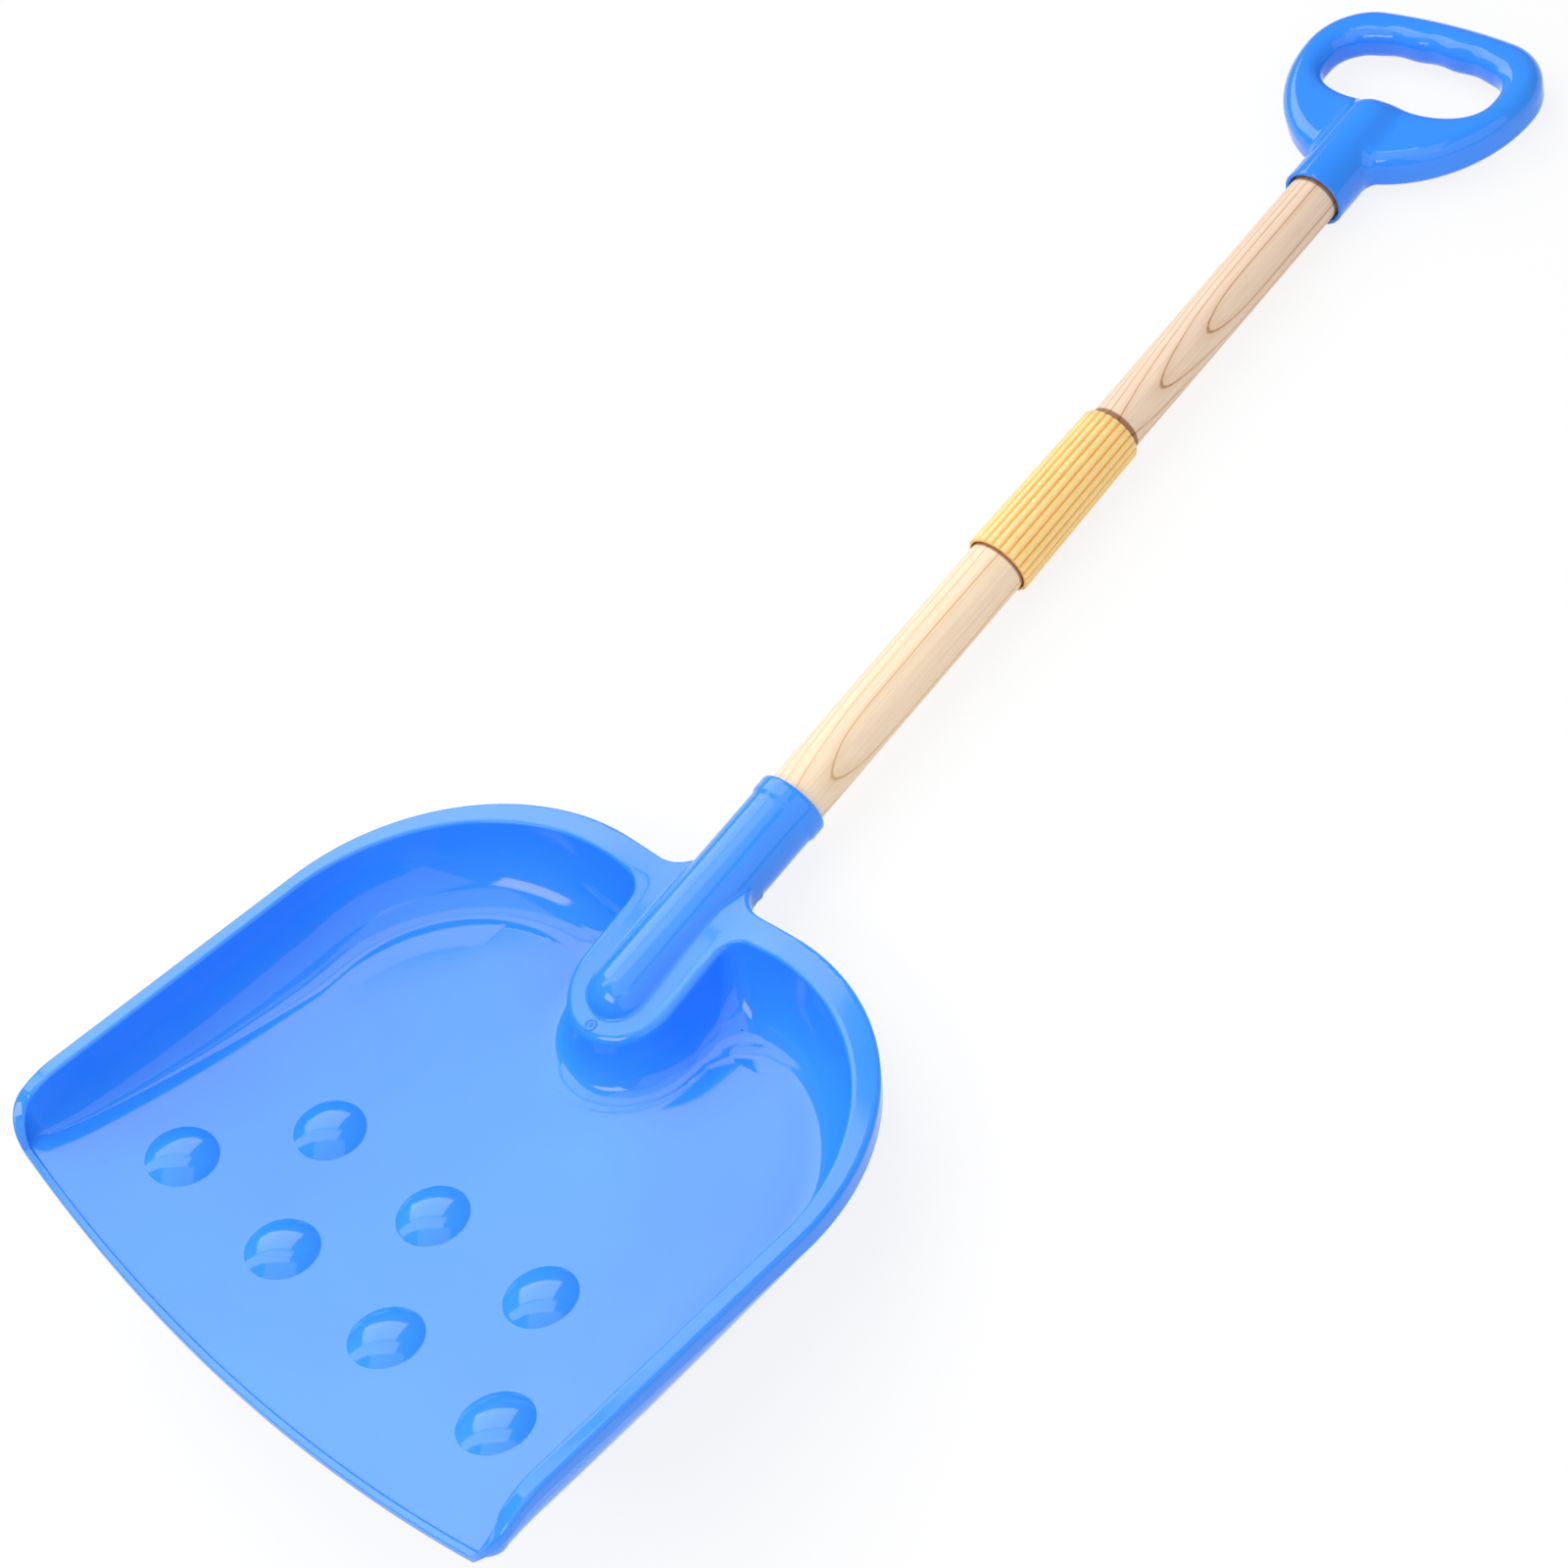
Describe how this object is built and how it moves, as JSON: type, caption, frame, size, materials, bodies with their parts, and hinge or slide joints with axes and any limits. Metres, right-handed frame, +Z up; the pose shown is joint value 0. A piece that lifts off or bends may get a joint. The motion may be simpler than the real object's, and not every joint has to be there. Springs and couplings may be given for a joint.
{
  "type": "sand shovel",
  "caption": "Child's sand shovel: moulded scoop with a turned-down rim and tubular socket, wooden dowel shaft joined in a ribbed sleeve, and a moulded D-handle.",
  "frame": {"origin": "middle of the bounding box's base, on the ground that the shovel lies on", "axes": "+Y runs along the shaft from the scoop to the D-handle, +X to the scoop's side, +Z up from the ground; the scoop's hollow faces up"},
  "size_m": [0.252, 0.6668, 0.0752],
  "materials": {
    "blue_plastic": "glossy injection-moulded polypropylene, light blue",
    "pale_wood": "pale turned pine dowel, fine straight grain, sanded",
    "tan_wood": "pinkish tan turned pine dowel, strong arched grain, sanded",
    "yellow_plastic": "yellow-orange moulded plastic with lengthwise ribs"
  },
  "bodies": {
    "root": {"blade": "blue_plastic", "lower_shaft": "pale_wood", "coupling_sleeve": "yellow_plastic", "upper_shaft": "tan_wood", "d_handle": "blue_plastic"}
  },
  "joints": []
}
